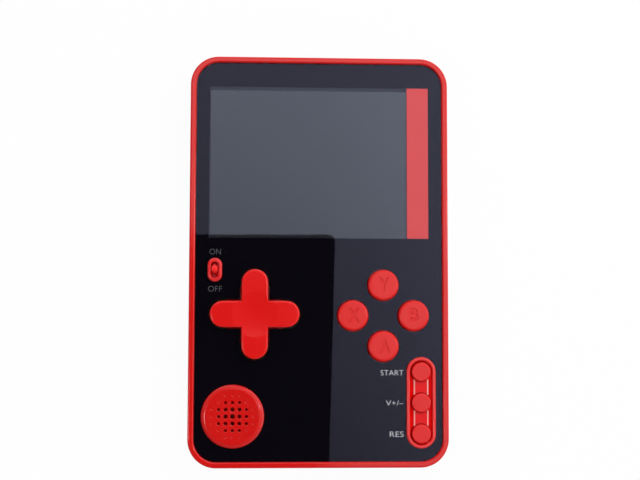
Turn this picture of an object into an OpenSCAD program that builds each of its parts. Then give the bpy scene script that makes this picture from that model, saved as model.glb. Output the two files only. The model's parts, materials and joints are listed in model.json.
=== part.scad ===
// Handheld game console, lying on its back.
// X runs to the right, Y to the screen end, Z out of the screen. Sizes in millimetres.

/* [Body] */
// Width across the long sides
body_w = 64; // [64:0.5:80]
// Length from the control end to the screen end
body_h = 101.4; // [101.4:0.2:130]
// Plan radius of the four corners
corner_r = 7; // [6:0.25:8]
// Thickness of the side walls
wall_t = 1.4; // [1.2:0.05:1.7]
// Thickness of the rear cover's floor
floor_t = 1.2; // [1:0.05:1.6]
// Width of the rim seen round the front panel
rim_w = 1.45; // [1.4:0.05:1.8]
// Height of the rim above the front panel
rim_rise = 0.4; // [0.3:0.05:0.8]
// Radius on the rim's outer edge
rim_edge_r = 0.45; // [0.4:0.05:1]
// Radius on the rim's inner edge
rim_inner_r = 0.4; // [0.15:0.05:0.55]
// Radius round the rear cover's edge
rear_edge_r = 1.5; // [0.8:0.1:1.8]
// Height of the lip that joins the two shells
lip_h = 1; // [0.6:0.1:1.4]
// Thickness of that lip
lip_t = 0.6; // [0.4:0.05:0.7]
// Bevel along the parting line
seam_bevel = 0.15; // [0.05:0.05:0.3]

/* [Front panel] */
// Thickness of the clear front panel
panel_t = 0.8; // [0.6:0.05:1.2]
// Thickness of the black film behind it
film_t = 0.08; // [0.05:0.01:0.15]
// Thickness of the shell's deck that carries the panel
deck_t = 1.2; // [1:0.05:1.5]

/* [Screen] */
// Left side of the body to the window
window_inset_x = 4.75; // [4.5:0.05:5.5]
// Screen end of the body to the window
window_inset_y = 7.35; // [7:0.05:9]
// Width of the clear window
window_w = 49.1; // [46:0.1:49.3]
// Height of the clear window
window_h = 37.85; // [34:0.05:38.2]
// Width of the red strip beside the window
strip_w = 5.4; // [3:0.1:6]
// Right side of the body to the red strip
strip_inset_x = 4.75; // [4.5:0.05:6]
// Width of the screen's picture area
picture_w = 48.96; // [46:0.02:49.1]
// Height of the screen's picture area
picture_h = 36.72; // [34:0.02:37.2]
// Thickness of the screen's glass
glass_t = 0.8; // [0.6:0.05:1]
// Thickness of the frame that holds its backlight
frame_t = 1.5; // [1.3:0.05:2]
// Thickness of the deck's ledge over the screen's edge
ledge_t = 0.6; // [0.4:0.05:0.7]

/* [Direction pad] */
// Left side of the body to the pad's middle
pad_inset_x = 16.22; // [15.5:0.1:19]
// Control end of the body to the pad's middle
pad_inset_y = 37.45; // [36.5:0.1:38.5]
// Length of the pad over two arms
pad_span = 22; // [20:0.1:23]
// Width of an arm
pad_arm = 6.5; // [6:0.05:7.6]
// Height of the pad above the panel
pad_rise = 1.4; // [1:0.1:2.5]
// Radius on the pad's top edge
pad_edge_r = 0.5; // [0.2:0.05:0.7]
// Depth of the thumb dish
dish_depth = 0.35; // [0.2:0.05:0.5]
// Radius of the thumb dish on the pad's top
dish_r = 5.6; // [4:0.1:7]

/* [Face buttons] */
// Right side of the body to the middle of the four buttons
face_inset_x = 16.2; // [15.5:0.1:19]
// Control end of the body to the middle of the four buttons
face_inset_y = 37.1; // [36.5:0.1:38]
// Distance of each button from that middle
face_pitch = 7.5; // [7.2:0.05:8.2]
// Diameter of a button
face_d = 7.55; // [6.8:0.05:8.2]
// Height of a button above the panel
face_rise = 1.2; // [0.8:0.1:2]
// Radius on a button's top edge
face_edge_r = 0.65; // [0.2:0.05:0.8]

/* [Menu buttons] */
// Right side of the body to the row of menu buttons
menu_inset_x = 6.82; // [6.6:0.02:8]
// Control end of the body to the middle menu button
menu_inset_y = 15.8; // [15.3:0.1:17]
// Distance between menu buttons
menu_pitch = 7.55; // [7.2:0.05:7.8]
// Diameter of a menu button
menu_d = 4.7; // [4:0.05:4.9]
// Height of a menu button above the panel
menu_rise = 0.75; // [0.5:0.05:1.5]
// Width of the oval bezel round the menu buttons
bezel_w = 7.15; // [6.9:0.05:7.8]
// Height of that bezel above the panel
bezel_rise = 0.5; // [0.4:0.05:0.9]
// Width of the bezel's bead
bead_w = 0.8; // [0.6:0.05:0.9]
// Depth of the bezel's trough
trough_depth = 0.9; // [0.6:0.05:1.2]
// Width of the bridges between the menu buttons
bridge_w = 3.7; // [3:0.1:4.4]
// Height of the bridges above the trough
bridge_rise = 0.35; // [0.2:0.05:0.5]

/* [Power switch] */
// Left side of the body to the switch
switch_inset_x = 6.35; // [6:0.05:7.5]
// Control end of the body to the middle of the switch
switch_inset_y = 48.3; // [47.6:0.1:48.6]
// Width of the switch's collar
collar_w = 3.5; // [3.4:0.05:4.2]
// Length of the switch's collar
collar_l = 5.8; // [5.7:0.05:6.6]
// Height of the collar above the panel
collar_rise = 0.4; // [0.3:0.05:0.8]
// Radius on the collar's edge
collar_edge_r = 0.45; // [0.2:0.05:0.6]
// Width of the slot
slot_w = 1.95; // [1.8:0.05:2.2]
// Length of the slot
slot_l = 4; // [3.8:0.05:4.4]
// Diameter of the knob
knob_d = 1.4; // [1.2:0.05:1.6]
// Height of the knob above the collar
knob_rise = 0.45; // [0.2:0.05:1]
// Where the knob stands, from the slot's middle
knob_at = 0.25; // [-0.8:0.05:0.8]
// How far the knob stands to the left of that middle
knob_side = 0.15; // [0:0.05:0.2]

/* [Speaker] */
// Left side of the body to the speaker
speaker_inset_x = 10.93; // [10.6:0.05:12]
// Control end of the body to the speaker
speaker_inset_y = 12.5; // [12.2:0.1:14]
// Diameter of the grille
grille_d = 15.35; // [14.5:0.05:16]
// Height of the grille above the panel
grille_rise = 0.6; // [0.4:0.05:1]
// Radius on the grille's edge
grille_edge_r = 1.5; // [0.8:0.05:2]
// Thickness of the grille
grille_t = 1.1; // [0.8:0.05:1.4]
// Distance between the grille's holes
hole_pitch = 1.69; // [1.5:0.01:1.8]
// Diameter of the hole in the middle, at its mouth
hole_d = 1.32; // [1.1:0.02:1.4]
// How much smaller a hole is for each pitch from the middle
hole_fall = 0.26; // [0.1:0.01:0.27]
// How much narrower a hole's radius is at its foot
hole_draft = 0.2; // [0:0.02:0.24]
// Bevel round a hole's mouth
hole_bevel = 0.08; // [0.02:0.02:0.12]
// Diameter of the speaker behind the grille
speaker_d = 15; // [14:0.1:15.4]
// Depth of that speaker
speaker_t = 3.4; // [3:0.1:3.8]

/* [Inside] */
// Room between the deck and the circuit board
key_room = 2.1; // [2:0.05:2.4]
// Thickness of the circuit board
board_t = 1; // [0.8:0.05:1.2]
// Width of the battery
battery_w = 44; // [30:0.5:45]
// Length of the battery
battery_l = 35; // [25:0.5:36]
// Thickness of the battery
battery_t = 3; // [2.8:0.05:3.8]
// Thickness of the foam between battery and screen
foam_t = 0.6; // [0.4:0.05:1.2]
// Diameter of the membranes' domes
dome_d = 4.6; // [3.6:0.1:4.9]
// Thickness of the membranes' sheet
sheet_t = 0.5; // [0.3:0.05:0.6]

/* [Fastening] */
// Both sides of the body to the case screws
screw_inset_x = 5; // [4.8:0.05:5.5]
// Both ends of the body to the case screws
screw_inset_y = 3.45; // [3.3:0.05:3.7]
// Diameter of the screws' shanks
shank_d = 1.4; // [1.2:0.05:1.6]
// Diameter of the screws' heads
head_d = 2.8; // [2.4:0.05:3]
// Height of the screws' heads
head_h = 0.9; // [0.7:0.05:1]
// Wall round a screw in its boss
boss_wall = 1.15; // [0.9:0.05:1.3]

/* [Charging socket] */
// Width of the socket's metal shell
socket_w = 8.94; // [8.5:0.02:9.2]
// Height of the socket's metal shell
socket_h = 3.26; // [2.8:0.02:3.4]
// Length of the socket
socket_l = 7.3; // [6.5:0.1:8]

/* [Hidden] */
$fn = 96;
dish_fn = 240;

// Overlap of joined solids, and how far a cut runs past a face or out into the open
eps = 0.02;
cut = 0.1;
run_out = 1;

// Clearances
panel_fit = 0.1;
bond_gap = 0.02;
key_play = 0.05;
key_gap = 0.15;
hole_gap = 0.22;
pad_gap = 0.4;
lip_fit = 0.1;
screen_fit = 0.25;
speaker_fit = 0.15;
core_gap = 0.03;
pass_gap = 0.2;
board_gap = 1.1;
battery_gap = 1.1;
rib_gap = 0.4;
port_gap = 0.15;
pivot_gap = 0.05;
screen_gap = 2.14;
tab_gap = 3.5;
strip_gap = 0.05;
ledge_gap = 0.25;
lever_gap = 0.15;
lever_fit = 0.05;
post_gap = 0.4;
pin_gap = 0.15;
ring_gap = 1.2;

// Levels, from the rear cover's outer face up
battery_z = floor_t;
foam_z = battery_z + battery_t;
frame_z = foam_z + foam_t;
glass_z = frame_z + frame_t;
ledge_z = glass_z + glass_t;
deck_top = ledge_z + ledge_t;
deck_z = deck_top - deck_t;
film_top = deck_top + film_t;
panel_z = film_top + bond_gap;
panel_top = panel_z + panel_t;
rim_top = panel_top + rim_rise;
board_top = deck_z - key_room;
board_z = board_top - board_t;
seam_z = board_z + board_t / 2;

// Sides and corner axes
left = -body_w / 2;
right = body_w / 2;
near = -body_h / 2;
far = body_h / 2;
axis_x = body_w / 2 - corner_r;
axis_y = body_h / 2 - corner_r;

// Places
window_x = left + window_inset_x;
window_y = far - window_inset_y;
window_mid = [window_x + window_w / 2, window_y - window_h / 2];
strip_x = right - strip_inset_x - strip_w;
picture_gap_x = 0.25;
picture_gap_y = 0.9;
picture_x = window_x + picture_gap_x;
picture_y = window_y - picture_gap_y;
border_l = 2;
border_r = right - wall_t - screen_gap - picture_x - picture_w;
border_y = 2.2;
driver_share = 0.46;
driver_w = driver_share * border_r;
glass_inset = 0.2;
screen_w = picture_w + border_l + border_r;
screen_h = picture_h + 2 * border_y;
screen_mid = [picture_x - border_l + screen_w / 2, picture_y + border_y - screen_h / 2];
screen_right = screen_mid[0] + screen_w / 2;
screen_near = screen_mid[1] - screen_h / 2;
// The insets of keys and switch are drawn on a control field of this length,
// and what a longer or shorter field adds is shared out between them
field_drawn = 54.23;
key_share = 0.6;
switch_share = 0.87;
field_add = screen_near - near - field_drawn;
pad_mid = [left + pad_inset_x, near + pad_inset_y + key_share * field_add];
face_mid = [right - face_inset_x, near + face_inset_y + key_share * field_add];
menu_mid = [right - menu_inset_x, near + menu_inset_y];
switch_mid = [left + switch_inset_x, near + switch_inset_y + switch_share * field_add];
speaker_mid = [left + speaker_inset_x, near + speaker_inset_y];
socket_inset = 0.4;
socket_mid = [0, near + socket_inset];
board_left = left + wall_t + board_gap;
board_right = right - wall_t - board_gap;
board_near = near + wall_t + board_gap;
board_far = screen_near - board_gap;
battery_left = left + wall_t + battery_gap;
battery_mid = [battery_left + battery_w / 2, screen_mid[1]];
flex_w = 22;
tab_w = board_right - battery_left - battery_w - tab_gap;
tab_far = screen_mid[1] + flex_w / 2;
face_turns = [[0, 1], [1, 0], [0, -1], [-1, 0]];
screw_places = [for (sx = [-1, 1], sy = [-1, 1]) [sx * (right - screw_inset_x), sy * (far - screw_inset_y)]];

// Places on the board, from the line midway between pad and face buttons
mid_x = pad_mid[0] / 2 + face_mid[0] / 2;
screw_off = 0.5;
screw_far_gap = 4.3;
screw_drop = 17;
menu_screw_x = 11.3;
menu_screw_y = 8;
board_screw_places = [
    [mid_x - screw_off, board_far - screw_far_gap],
    [mid_x - screw_off, pad_mid[1] - screw_drop],
    [menu_mid[0] - menu_screw_x, menu_mid[1] - menu_screw_y]
];

// Chips and small parts on the board
chip_off = 6;
main_chip_drop = 7;
main_chip_w = 9;
main_chip_t = 1;
memory_drop = 19;
memory_w = 6;
memory_l = 7.4;
memory_t = 0.9;
pin_pitch = 1.2;
pin_w = 0.5;
pin_l = 1;
pin_t = 0.25;
pin_out = 0.4;
main_chip_pins = 7;
memory_pins = 5;
parts_off = 7;
parts_drop = 6;
parts_row = 3;
crystal_w = 3.2;
crystal_l = 2.4;
crystal_t = 0.9;
cap_pitch = 1.5;
cap_w = 0.8;
cap_l = 1.4;
cap_t = 0.5;
cap_count = 4;
coil_w = 3;
coil_t = 1.1;

// Section of the speaker
magnet_r = 4.2;
magnet_t = 1.1;
pole_r = 1.4;
pole_gap = 1.4;
plate_r = 3.2;
plate_t = 0.5;
basket_rim_w = 0.9;
basket_rim_t = 0.8;
basket_foot = 1.8;
basket_t = 0.4;
surround_w = 0.85;
surround_gap = 0.05;
surround_drop = 0.3;
paper_t = 0.2;
coil_r = 2.6;
coil_drop = 1;
cap_r = 2.2;
cap_drop = 0.75;
cap_crown = 0.4;
speaker_lead_run = 1.6;
speaker_lead_side = 0.7;
speaker_lead_drop = 0.4;

// Keys, their flanges and guides
face_r = face_d / 2;
flange_w = 0.6;
flange_r = face_r + flange_w;
flange_t = 0.8;
guide_wall = 0.9;
guide_drop = 0.45;
lug_w = 1.2;
lug_l = 0.6;
lug_way = 1.6;
menu_r = menu_d / 2;
menu_edge_r = 0.3;
menu_flange_w = 0.5;
menu_flange_r = menu_r + menu_flange_w;
pad_flange_r = 7.8;
pad_flange_play = 0.08;
pad_flange_fall = 5.1;
pad_bar_lift = 0.45;
pivot_r = 0.95;
pivot_drop = 0.25;
pivot_z = board_top + pivot_gap + pivot_r;
pad_sole = pivot_z - pivot_drop;
pad_flange_top = deck_z - pad_flange_play;
pad_slope = tan(pad_flange_fall);
pad_top = panel_top + pad_rise;
face_top = panel_top + face_rise;
menu_top = panel_top + menu_rise;
flange_top = deck_z - key_play;
flange_sole = flange_top - flange_t;
dome_top = flange_sole - key_play;
pad_dome_top = pad_sole - key_play;
pad_dome_at = 6.6;

// Raised parts of the deck
collar_top = panel_top + collar_rise;
bezel_top = panel_top + bezel_rise;
trough_z = bezel_top - trough_depth;
bridge_round = 0.9;

// Grille and speaker
grille_top = panel_top + grille_rise;
grille_r = grille_d / 2;
grille_sole = grille_top - grille_t;
hole_rows = 3;
hole_reach = 3.3;
open_reach = 2.5;
dimple_depth = 0.12;
speaker_r = speaker_d / 2;
pocket_r = speaker_r + speaker_fit;
chamber_inset = 1.2;
pocket_wall = 0.8;
pocket_h = 2.2;
notch_w = 2.8;
notch_roof = 0.2;
gasket_t = 0.3;
gasket_w = 1.1;
speaker_top = deck_z - gasket_t;
speaker_sole = speaker_top - speaker_t;
basket_z = speaker_sole + magnet_t;

// Screws and posts
shank_r = shank_d / 2;
boss_r = shank_r + boss_wall;
head_r = head_d / 2;
head_edge_r = 0.25;
recess_l = 1.5;
recess_w = 0.34;
recess_depth = 0.55;
post_wall = 0.75;
post_r = head_r + pass_gap + post_wall;
rest_r = 1;
rest_off = 3;
head_z = 0.55;
screw_in = 0.1;
screw_end = deck_z + screw_in;
core_end = screw_end + pass_gap;

// Power switch
slider_t = 0.5;
slider_top = deck_z - key_play;
slider_sole = slider_top - slider_t;
slider_lap_l = 1.2;
slider_lap_w = 0.75;
slider_corner_r = 0.4;
slider_l = slot_l + 2 * slider_lap_l;
slider_w = slot_w + 2 * slider_lap_w;
knob_edge_r = 0.3;
switch_h = 1;
switch_w = 3.4;
switch_l = 6.6;
switch_travel = 1.7;
switch_well = 0.4;
switch_end = 0.4;
stem_gap = 0.1;
stem_w = slot_w - 2 * stem_gap;
stem_l = slot_l - switch_travel - 2 * stem_gap;
stem_drop = 0.6;
lever_w = 0.9;
lever_in = 0.25;
lever_z = board_top + switch_well + lever_fit;
lever_top = slider_sole + lever_in;

// Screen's flex and its way through the deck
flex_t = 0.12;
flex_z = glass_z + glass_t / 2;
flex_r = (flex_z - board_top - flex_t) / 2;
flex_out = 0.1;
flex_bend_x = screen_right + flex_out;
flex_lap_share = 0.8;
flex_lap = flex_lap_share * driver_w;
flex_tail = 8;
flex_pass = 1;
flex_wall_gap = 0.2;

// Details of the shells
port_in = 0.6;
lip_root = 0.5;
rib_l = 4;
rib_t = 0.8;
rib_h = 1.6;
ledge_corner_r = 0.5;
frame_corner_r = 0.4;

// Battery and leads
battery_corner_r = 2;
battery_edge_r = 0.6;
foam_inset = 3;
lead_r = 0.4;
lead_inset = 6;
lead_pitch = 2;
lead_lap = 0.7;

// Rubber membranes
dome_r = dome_d / 2;
dome_wall = 0.7;
dome_web = 0.2;
dome_hollow_share = 0.7;
dome_hollow = dome_hollow_share * sheet_t;
pad_sheet_edge = 1;
pad_sheet_hole_r = 2;
face_sheet_edge = 1.2;
face_sheet_share = 1.2;
menu_sheet_edge = 0.7;

// Charging socket
socket_t = 0.3;
socket_back = 1.2;
foot_w = 1.1;
foot_l = 1;
foot_t = 0.25;
foot_places = [3.2, 5.6];
tongue_w = 6.7;
tongue_t = 0.7;
tongue_in = 1;

// Colours
shell_red = [0.78, 0.07, 0.07];
key_red = [0.82, 0.1, 0.1];
ink_black = [0.03, 0.03, 0.04];
clear = [0.8, 0.85, 0.9, 0.25];
board_green = [0.05, 0.3, 0.15];
rubber_grey = [0.5, 0.52, 0.55];
steel = [0.75, 0.76, 0.78];
dark_plastic = [0.12, 0.12, 0.13];

// Flat outlines

module round_rect(w, h, r) {
    square([w - 2 * r, h], center = true);
    square([w, h - 2 * r], center = true);
    for (sx = [-1, 1], sy = [-1, 1])
        translate([sx * (w / 2 - r), sy * (h / 2 - r)])
            circle(r);
}

module slot_outline(w, l) {
    square([w, l - w], center = true);
    for (sy = [-1, 1])
        translate([0, sy * (l - w) / 2])
            circle(w / 2);
}

module cross_outline(span, arm) {
    slot_outline(arm, span);
    rotate(90)
        slot_outline(arm, span);
}

module case_outline(inset) {
    round_rect(body_w - 2 * inset, body_h - 2 * inset, corner_r - inset);
}

// Section of a block with a rounded top edge, x measured from the turning axis

module edge_section(r, z0, z1, e) {
    translate([0, z0])
        square([r, z1 - z0 - e]);
    translate([0, z0])
        square([r - e, z1 - z0]);
    translate([r - e, z1 - e])
        circle(e);
}

// Section of a boss whose top curves over an edge arc, from a wall that ends below the top

module crowned_section(r, z0, z1, drop, e) {
    reach = sqrt(e * e - (e - drop) * (e - drop));
    translate([0, z0])
        square([r, z1 - drop - z0]);
    translate([0, z0])
        square([r - reach, z1 - z0]);
    intersection() {
        translate([r - reach, z1 - e])
            circle(e);
        translate([r - reach - eps, z1 - drop - eps])
            square([reach + eps, drop + 2 * eps]);
    }
}

// Solid whose edge section runs round a loop: quarter turns at the corners, straights between

module loop_solid(ax, ay, z0, z1) {
    for (q = [0:3])
        translate([(q == 0 || q == 3 ? 1 : -1) * ax, (q < 2 ? 1 : -1) * ay, 0])
            rotate(90 * q)
                rotate_extrude(angle = 90)
                    children();
    if (ay > 0)
        for (s = [0, 180])
            rotate(s)
                translate([ax, 0, 0])
                    rotate([90, 0, 0])
                        linear_extrude(2 * ay, center = true)
                            children();
    if (ax > 0)
        for (s = [90, 270])
            rotate(s)
                translate([ay, 0, 0])
                    rotate([90, 0, 0])
                        linear_extrude(2 * ax, center = true)
                            children();
    if (ax > 0 && ay > 0)
        translate([-ax, -ay, z0])
            cube([2 * ax, 2 * ay, z1 - z0]);
}

module case_loop(z0, z1) {
    loop_solid(axis_x, axis_y, z0, z1)
        children();
}

module layer(z0, z1) {
    translate([0, 0, z0])
        linear_extrude(z1 - z0)
            children();
}

module at(p) {
    translate([p[0], p[1], 0])
        children();
}

module peg(r, z0, z1) {
    translate([0, 0, z0])
        cylinder(r = r, h = z1 - z0);
}

// Openings shared by the shells

module port_cut() {
    translate([socket_mid[0], near - run_out, seam_z])
        rotate([-90, 0, 0])
            linear_extrude(run_out + wall_t + port_in)
                rotate(90)
                    slot_outline(socket_h + 2 * port_gap, socket_w + 2 * port_gap);
}

module key_holes(gap) {
    at(pad_mid)
        cross_outline(pad_span + 2 * pad_gap, pad_arm + 2 * pad_gap);
    for (t = face_turns)
        at(face_mid + face_pitch * t)
            circle(face_r + gap);
}

module boss_holes(gap) {
    at(speaker_mid)
        circle(grille_r + gap);
    at(menu_mid)
        slot_outline(bezel_w + 2 * gap, bezel_w + 2 * menu_pitch + 2 * gap);
    at(switch_mid)
        slot_outline(collar_w + 2 * gap, collar_l + 2 * gap);
}

// Front shell

module rim_section() {
    difference() {
        edge_section(corner_r, seam_z, rim_top, rim_edge_r);
        polygon([
            [corner_r - seam_bevel - cut, seam_z - cut],
            [corner_r + seam_bevel, seam_z - cut],
            [corner_r + seam_bevel, seam_z + 2 * seam_bevel]
        ]);
    }
}

module recess_section() {
    r = corner_r - rim_w;
    translate([0, deck_top])
        square([r, rim_top - deck_top + cut]);
    difference() {
        translate([r - eps, rim_top - rim_inner_r])
            square([rim_inner_r + eps, rim_inner_r + cut]);
        translate([r + rim_inner_r, rim_top - rim_inner_r])
            circle(rim_inner_r);
    }
}

module shell_skin() {
    difference() {
        case_loop(seam_z, rim_top)
            rim_section();
        case_loop(deck_top, rim_top + cut)
            recess_section();
        layer(seam_z - cut, deck_z)
            case_outline(wall_t);
        layer(seam_z - cut, seam_z + lip_h + lip_fit)
            case_outline(wall_t - lip_t - lip_fit);
    }
}

module face_collars() {
    difference() {
        for (t = face_turns)
            at(face_mid + face_pitch * t)
                peg(flange_r + guide_wall, flange_sole - guide_drop, deck_z + eps);
        for (t = face_turns)
            at(face_mid + face_pitch * t) {
                peg(flange_r + pass_gap, flange_sole - run_out, deck_z);
                key_lug(t, pass_gap, flange_sole - run_out, deck_z, lug_way);
            }
        for (s = [-1:1])
            at(menu_mid + [0, s * menu_pitch])
                peg(menu_flange_r + pass_gap, flange_sole - run_out, deck_z);
    }
}

module key_lug(t, gap, z0, z1, reach) {
    rotate(atan2(t[1], t[0]))
        translate([0, -lug_w / 2 - gap, z0])
            cube([flange_r + reach, lug_w + 2 * gap, z1 - z0]);
}

module grille_boss() {
    at(speaker_mid)
        rotate_extrude()
            crowned_section(grille_r, deck_top - eps, grille_top, grille_rise, grille_edge_r);
}

// Holes that narrow downwards and shrink away from the middle, with a ring of shallow dimples round them

module grille_holes() {
    at(speaker_mid) {
        peg(speaker_r - chamber_inset, deck_z - run_out, grille_sole);
        for (i = [-hole_rows:hole_rows], j = [-hole_rows:hole_rows]) {
            d = norm([i, j]);
            r = (hole_d - hole_fall * d) / 2;
            at([i * hole_pitch, j * hole_pitch])
                if (d < open_reach)
                    grille_hole(r);
                else if (d < hole_reach)
                    grille_dimple(r);
        }
    }
}

module grille_hole(r) {
    rotate_extrude()
        polygon([
            [0, grille_sole - cut],
            [r - hole_draft, grille_sole - cut],
            [r, grille_top - hole_bevel],
            [r + hole_bevel + cut, grille_top + cut],
            [0, grille_top + cut]
        ]);
}

module grille_dimple(r) {
    ball = (r * r + dimple_depth * dimple_depth) / (2 * dimple_depth);
    translate([0, 0, grille_top - dimple_depth + ball])
        sphere(ball);
}

module speaker_wall() {
    at(speaker_mid)
        difference() {
            peg(pocket_r + pocket_wall, deck_z - pocket_h, deck_z + eps);
            peg(pocket_r, deck_z - pocket_h - run_out, deck_z);
            translate([0, -notch_w / 2, deck_z - pocket_h - run_out])
                cube([pocket_r + pocket_wall + run_out, notch_w, pocket_h + run_out - notch_roof]);
        }
}

module bezel() {
    at(menu_mid)
        difference() {
            loop_solid(0, menu_pitch, deck_z, bezel_top)
                edge_section(bezel_w / 2, deck_z + eps, bezel_top, bead_w / 2);
            loop_solid(0, menu_pitch, trough_z, bezel_top)
                trough_section();
        }
    at(menu_mid)
        for (s = [-1, 1])
            translate([0, s * menu_pitch / 2, 0])
                rotate([90, 0, 0])
                    linear_extrude(menu_pitch, center = true)
                        bridge_section();
}

module trough_section() {
    r = bezel_w / 2 - bead_w;
    e = bead_w / 2;
    translate([0, trough_z])
        square([r, trough_depth + run_out]);
    difference() {
        translate([r - eps, bezel_top - e])
            square([e + eps, e + run_out]);
        translate([r + e, bezel_top - e])
            circle(e);
    }
}

module bridge_section() {
    e = bridge_round * bridge_rise;
    top = trough_z + bridge_rise;
    translate([-bridge_w / 2, trough_z - eps])
        square([bridge_w, bridge_rise + eps - e]);
    translate([-bridge_w / 2 + e, trough_z - eps])
        square([bridge_w - 2 * e, bridge_rise + eps]);
    for (s = [-1, 1])
        translate([s * (bridge_w / 2 - e), top - e])
            circle(e);
}

module switch_collar() {
    at(switch_mid)
        loop_solid(0, (collar_l - collar_w) / 2, deck_z, collar_top)
            edge_section(collar_w / 2, deck_z + eps, collar_top, collar_edge_r);
}

module case_bosses() {
    for (p = screw_places)
        at(p)
            peg(boss_r, seam_z, deck_z + eps);
    for (p = board_screw_places)
        at(p)
            peg(boss_r, board_top, deck_z + eps);
}

module screen_cuts() {
    flex_end = right - wall_t - flex_wall_gap;
    at(screen_mid)
        layer(deck_z - cut, ledge_z)
            square([screen_w + 2 * screen_fit, screen_h + 2 * screen_fit], center = true);
    translate([screen_mid[0], screen_mid[1] - flex_w / 2 - flex_pass, deck_z - cut])
        cube([flex_end - screen_mid[0], flex_w + 2 * flex_pass, ledge_z - deck_z + cut]);
    at(window_mid)
        layer(deck_z - cut, deck_top + cut)
            round_rect(window_w + 2 * ledge_gap, window_h + 2 * ledge_gap, ledge_corner_r);
}

module front_shell() {
    color(shell_red)
        difference() {
            union() {
                shell_skin();
                face_collars();
                speaker_wall();
                grille_boss();
                bezel();
                switch_collar();
                case_bosses();
            }
            screen_cuts();
            layer(deck_z - cut, deck_top + cut)
                key_holes(key_gap);
            grille_holes();
            for (s = [-1:1])
                at(menu_mid + [0, s * menu_pitch])
                    peg(menu_r + key_gap, deck_z - cut, bezel_top + run_out);
            at(switch_mid)
                layer(deck_z - cut, collar_top + cut)
                    slot_outline(slot_w, slot_l);
            for (p = screw_places)
                at(p)
                    peg(shank_r + core_gap, seam_z - cut, core_end);
            for (p = board_screw_places)
                at(p)
                    peg(shank_r + core_gap, board_top - cut, core_end);
            port_cut();
        }
}

// Rear cover

module rear_section() {
    difference() {
        translate([0, seam_z])
            mirror([0, 1])
                edge_section(corner_r, 0, seam_z, rear_edge_r);
        polygon([
            [corner_r - seam_bevel - cut, seam_z + cut],
            [corner_r + seam_bevel, seam_z + cut],
            [corner_r + seam_bevel, seam_z - 2 * seam_bevel]
        ]);
    }
}

module rear_lip() {
    difference() {
        layer(seam_z - lip_root, seam_z + lip_h)
            case_outline(wall_t - lip_t);
        layer(seam_z - run_out, seam_z + lip_h + run_out)
            case_outline(wall_t);
        for (p = screw_places)
            at(p)
                peg(boss_r + pass_gap, seam_z, seam_z + lip_h + run_out);
    }
}

module battery_ribs() {
    for (sx = [-1, 1], sy = [-1, 1])
        at(battery_mid)
            scale_side(sx, sy)
                translate([battery_w / 2 + rib_gap, battery_l / 2 - rib_l, floor_t - eps]) {
                    cube([rib_t, rib_l + rib_gap + rib_t, rib_h]);
                    translate([-rib_l - rib_gap, rib_l + rib_gap, 0])
                        cube([rib_l + rib_gap + eps, rib_t, rib_h]);
                }
}

module scale_side(sx, sy) {
    mirror([sx < 0 ? 1 : 0, 0, 0])
        mirror([0, sy < 0 ? 1 : 0, 0])
            children();
}

module rear_cover() {
    color(shell_red)
        difference() {
            union() {
                difference() {
                    case_loop(0, seam_z)
                        rear_section();
                    layer(floor_t, seam_z + cut)
                        case_outline(wall_t);
                }
                rear_lip();
                battery_ribs();
                for (p = screw_places)
                    at(p)
                        peg(post_r, floor_t - eps, seam_z);
                for (s = [-1, 1])
                    at([s * (socket_w / 2 + rest_off), board_near + rest_off])
                        peg(rest_r, floor_t - eps, board_z);
            }
            for (p = screw_places)
                at(p) {
                    peg(head_r + pass_gap, -cut, head_z + head_h);
                    peg(shank_r + pass_gap, 0, seam_z + cut);
                }
            port_cut();
        }
}

// Front panel, film and strip

module panel_outline() {
    difference() {
        case_outline(rim_w + panel_fit);
        key_holes(hole_gap);
        boss_holes(panel_fit);
    }
}

module front_panel() {
    color(clear)
        layer(panel_z, panel_top)
            panel_outline();
}

module panel_film() {
    color(ink_black)
        layer(deck_top, film_top)
            difference() {
                panel_outline();
                translate([window_x, window_y - window_h])
                    square([window_w, window_h]);
                translate([strip_x, window_y - window_h])
                    square([strip_w, window_h]);
            }
}

module accent_strip() {
    color(key_red)
        layer(deck_top, film_top)
            translate([strip_x + strip_gap, window_y - window_h + strip_gap])
                square([strip_w - 2 * strip_gap, window_h - 2 * strip_gap]);
}

// Screen

module lcd_glass() {
    color([0.33, 0.35, 0.4]) {
        at(screen_mid)
            layer(glass_z, glass_z + glass_t / 2)
                square([screen_w - 2 * glass_inset, screen_h - 2 * glass_inset], center = true);
        at(screen_mid)
            translate([-screen_w / 2 + glass_inset, -screen_h / 2 + glass_inset, glass_z + glass_t / 2])
                cube([screen_w - glass_inset - driver_w, screen_h - 2 * glass_inset, glass_t / 2]);
    }
}

module lcd_frame() {
    color([0.9, 0.9, 0.88])
        at(screen_mid)
            layer(frame_z, glass_z)
                round_rect(screen_w, screen_h, frame_corner_r);
}

module lcd_flex() {
    color([0.75, 0.45, 0.1])
        translate([0, screen_mid[1], 0]) {
            translate([flex_bend_x - flex_lap, -flex_w / 2, flex_z])
                cube([flex_lap, flex_w, flex_t]);
            translate([flex_bend_x, 0, board_top + flex_t + flex_r])
                rotate([0, 90, 0])
                    rotate([90, 0, 0])
                        rotate_extrude(angle = 180)
                            translate([flex_r, -flex_w / 2])
                                square([flex_t, flex_w]);
            translate([flex_bend_x - flex_tail, -flex_w / 2, board_top])
                cube([flex_tail, flex_w, flex_t]);
        }
}

// Battery

module battery() {
    color([0.7, 0.72, 0.75])
        at(battery_mid)
            loop_solid(battery_w / 2 - battery_corner_r, battery_l / 2 - battery_corner_r, battery_z, foam_z)
                edge_section(battery_corner_r, battery_z, foam_z, battery_edge_r);
}

module battery_foam() {
    color([0.15, 0.15, 0.16])
        at(battery_mid)
            layer(foam_z, frame_z)
                square([battery_w - 2 * foam_inset, battery_l - 2 * foam_inset], center = true);
}

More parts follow.
